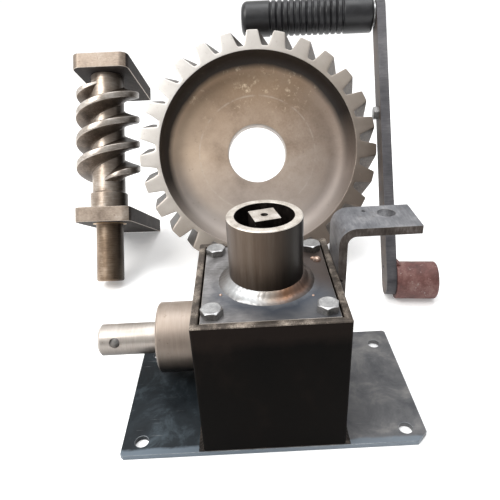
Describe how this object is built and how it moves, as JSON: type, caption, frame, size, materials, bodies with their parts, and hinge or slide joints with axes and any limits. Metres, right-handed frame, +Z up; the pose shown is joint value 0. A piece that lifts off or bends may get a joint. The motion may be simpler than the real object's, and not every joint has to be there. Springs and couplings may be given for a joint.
{
  "type": "worm gear set",
  "caption": "Worm gearbox on a base plate with a vertical square output, a loose dished worm wheel, its worm in two bearing plates, and a crank handle with a ribbed grip.",
  "frame": {"origin": "underside of the base plate, on the axis of the vertical output shaft", "axes": "+Z up along the output shaft, +X away from the input shaft end, +Y to the back"},
  "size_m": [0.3768, 0.4299, 0.2735],
  "materials": {
    "scale_steel": "hot-rolled steel with blue-grey mill scale",
    "housing_black": "near-black steel tube, satin",
    "lid_steel": "bare plate with heat tint round the weld",
    "zinc": "zinc-plated",
    "turned_dark": "turned steel, brown-grey, streaked",
    "weld": "weld metal",
    "bronze": "plain bearing bronze",
    "turned_tan": "turned steel, warm satin",
    "black_oxide": "black oxide",
    "wheel_steel": "warm raw steel, machined teeth",
    "worm_steel": "dark steel with bright worn crests",
    "plate_steel": "raw flat bar",
    "hub_oxide": "red-brown oxide",
    "grip_rubber": "ribbed black grip"
  },
  "bodies": {
    "gearbox": {"base_plate": "scale_steel", "housing": "housing_black", "housing_weld": "weld", "lid_lugs": "lid_steel", "lid": "lid_steel", "lid_bolts": "zinc", "output_collar": "turned_dark", "collar_weld": "weld", "output_bush_top": "bronze", "output_bush_bottom": "bronze", "bottom_bearing_cup": "housing_black", "thrust_washer": "bronze", "input_boss": "turned_tan", "input_boss_weld": "weld", "input_bush_outer": "bronze", "inner_boss": "housing_black", "input_bush_inner": "bronze", "side_bracket": "scale_steel", "bracket_weld": "weld"},
    "input": {"input_shaft": "turned_tan", "drive_worm": "turned_tan", "drive_worm_pin": "turned_tan", "input_spacer": "turned_tan", "stop_collar": "turned_tan", "stop_collar_screw": "black_oxide"},
    "output": {"output_shaft": "turned_tan", "drive_wheel": "bronze", "drive_wheel_pin": "turned_tan"},
    "crank": {"crank_arm": "scale_steel", "crank_hub": "hub_oxide", "crank_hub_weld": "weld", "arm_bolt": "zinc", "grip_spindle": "turned_tan", "grip_washer": "zinc"},
    "grip": {"grip": "grip_rubber"},
    "worm_set": {"worm_plate_top": "plate_steel", "worm_plate_bottom": "plate_steel", "worm_bush_top": "bronze", "worm_bush_bottom": "bronze"},
    "worm": {"worm": "worm_steel"},
    "wheel": {"worm_wheel": "wheel_steel"}
  },
  "joints": [
    {"name": "input_spin", "type": "hinge", "parent": "gearbox", "child": "input", "pos_m": [-0.05, 0.03, 0.041], "axis": [1, 0, 0], "continuous": true},
    {"name": "output_spin", "type": "hinge", "parent": "gearbox", "child": "output", "pos_m": [0, 0, 0.1], "axis": [0, 0, 1], "continuous": true},
    {"name": "wheel_spin", "type": "hinge", "parent": "gearbox", "child": "wheel", "pos_m": [0.004, 0.24787, 0.1242], "axis": [0, 0.8829, -0.4695], "continuous": true},
    {"name": "worm_set_lift", "type": "slide", "parent": "gearbox", "child": "worm_set", "axis": [0, 0, 1], "range_m": [0, 0.2]},
    {"name": "worm_spin", "type": "hinge", "parent": "worm_set", "child": "worm", "pos_m": [-0.16538, 0.21505, 0.06857], "axis": [0.0225, 0.5145, 0.8572], "continuous": true},
    {"name": "crank_lift", "type": "slide", "parent": "gearbox", "child": "crank", "axis": [0, 0, 1], "range_m": [0, 0.2]},
    {"name": "grip_spin", "type": "hinge", "parent": "crank", "child": "grip", "pos_m": [0.06924, 0.33916, 0.254], "axis": [0.9945, -0.1045, 0], "continuous": true}
  ],
  "couplings": [
    {"joint": "output_spin", "follows": "input_spin", "ratio": 0.055556}
  ]
}
